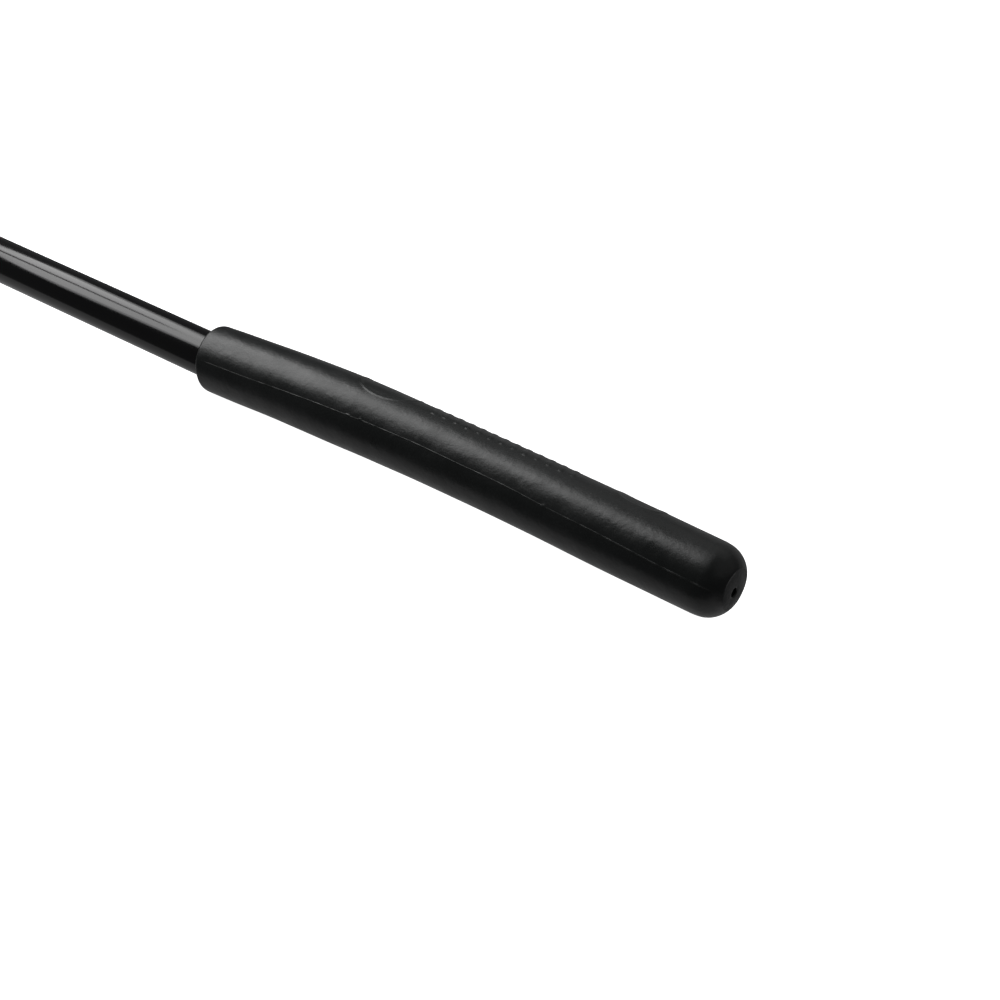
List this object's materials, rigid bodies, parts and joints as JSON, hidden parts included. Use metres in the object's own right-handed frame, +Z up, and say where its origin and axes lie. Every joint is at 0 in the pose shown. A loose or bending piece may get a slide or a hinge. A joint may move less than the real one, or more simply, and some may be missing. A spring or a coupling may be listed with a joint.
{
  "type": "golf ball retriever",
  "caption": "Telescoping pole with a bowed black rubber grip, black and bright tubes, and a slotted scoop with a sprung gate that traps a golf ball.",
  "frame": {"origin": "middle of the bounding box's underside, on the surface that the closed retriever lies on", "axes": "+X along the pole towards the butt of the grip, -X towards the ball head, +Z up with the gate on top, +Y completes a right-handed frame"},
  "size_m": [0.6686, 0.0502, 0.0569],
  "materials": {
    "grip_rubber": "satin moulded rubber",
    "black_enamel": "gloss black enamel on a metal tube",
    "bright_aluminium": "bright drawn tube",
    "black_nylon": "satin moulded",
    "natural_acetal": "natural",
    "orange_plastic": "semi-gloss moulded",
    "steel": "plain bright"
  },
  "bodies": {
    "handle": {"grip": "grip_rubber", "butt_plug": "black_nylon", "outer_tube": "black_enamel", "outer_tube_collar": "black_nylon"},
    "section_2": {"tube_2": "bright_aluminium", "tube_2_bush": "natural_acetal", "tube_2_collar": "black_nylon"},
    "section_3": {"tube_3": "bright_aluminium", "tube_3_bush": "natural_acetal", "tube_3_collar": "black_nylon"},
    "section_4": {"tube_4": "bright_aluminium", "tube_4_bush": "natural_acetal", "tube_4_collar": "black_nylon"},
    "section_5": {"tube_5": "bright_aluminium", "tube_5_bush": "natural_acetal", "tube_5_collar": "black_nylon"},
    "head": {"tube_6": "bright_aluminium", "tube_6_bush": "natural_acetal", "head_body": "black_nylon", "head_rivet": "steel", "ball_cradle": "orange_plastic", "cradle_screw_1": "steel", "cradle_screw_2": "steel", "cradle_screw_3": "steel", "cradle_screw_4": "steel", "hinge_pin": "steel", "hinge_pin_clip": "steel", "gate_spring": "steel"},
    "gate": {"ball_gate": "orange_plastic"}
  },
  "joints": [
    {"name": "section_2_slide", "type": "slide", "parent": "handle", "child": "section_2", "axis": [-1, 0, 0], "range_m": [0, 0.448]},
    {"name": "section_3_slide", "type": "slide", "parent": "section_2", "child": "section_3", "axis": [-1, 0, 0], "range_m": [0, 0.448]},
    {"name": "section_4_slide", "type": "slide", "parent": "section_3", "child": "section_4", "axis": [-1, 0, 0], "range_m": [0, 0.448]},
    {"name": "section_5_slide", "type": "slide", "parent": "section_4", "child": "section_5", "axis": [-1, 0, 0], "range_m": [0, 0.448]},
    {"name": "head_slide", "type": "slide", "parent": "section_5", "child": "head", "axis": [-1, 0, 0], "range_m": [0, 0.448]},
    {"name": "gate_hinge", "type": "hinge", "parent": "head", "child": "gate", "pos_m": [-0.27675, 0, 0.053], "axis": [0, 1, 0], "range_deg": [0, 62], "stiffness_Nm_per_rad": 0.02, "springref_deg": -45.84}
  ]
}
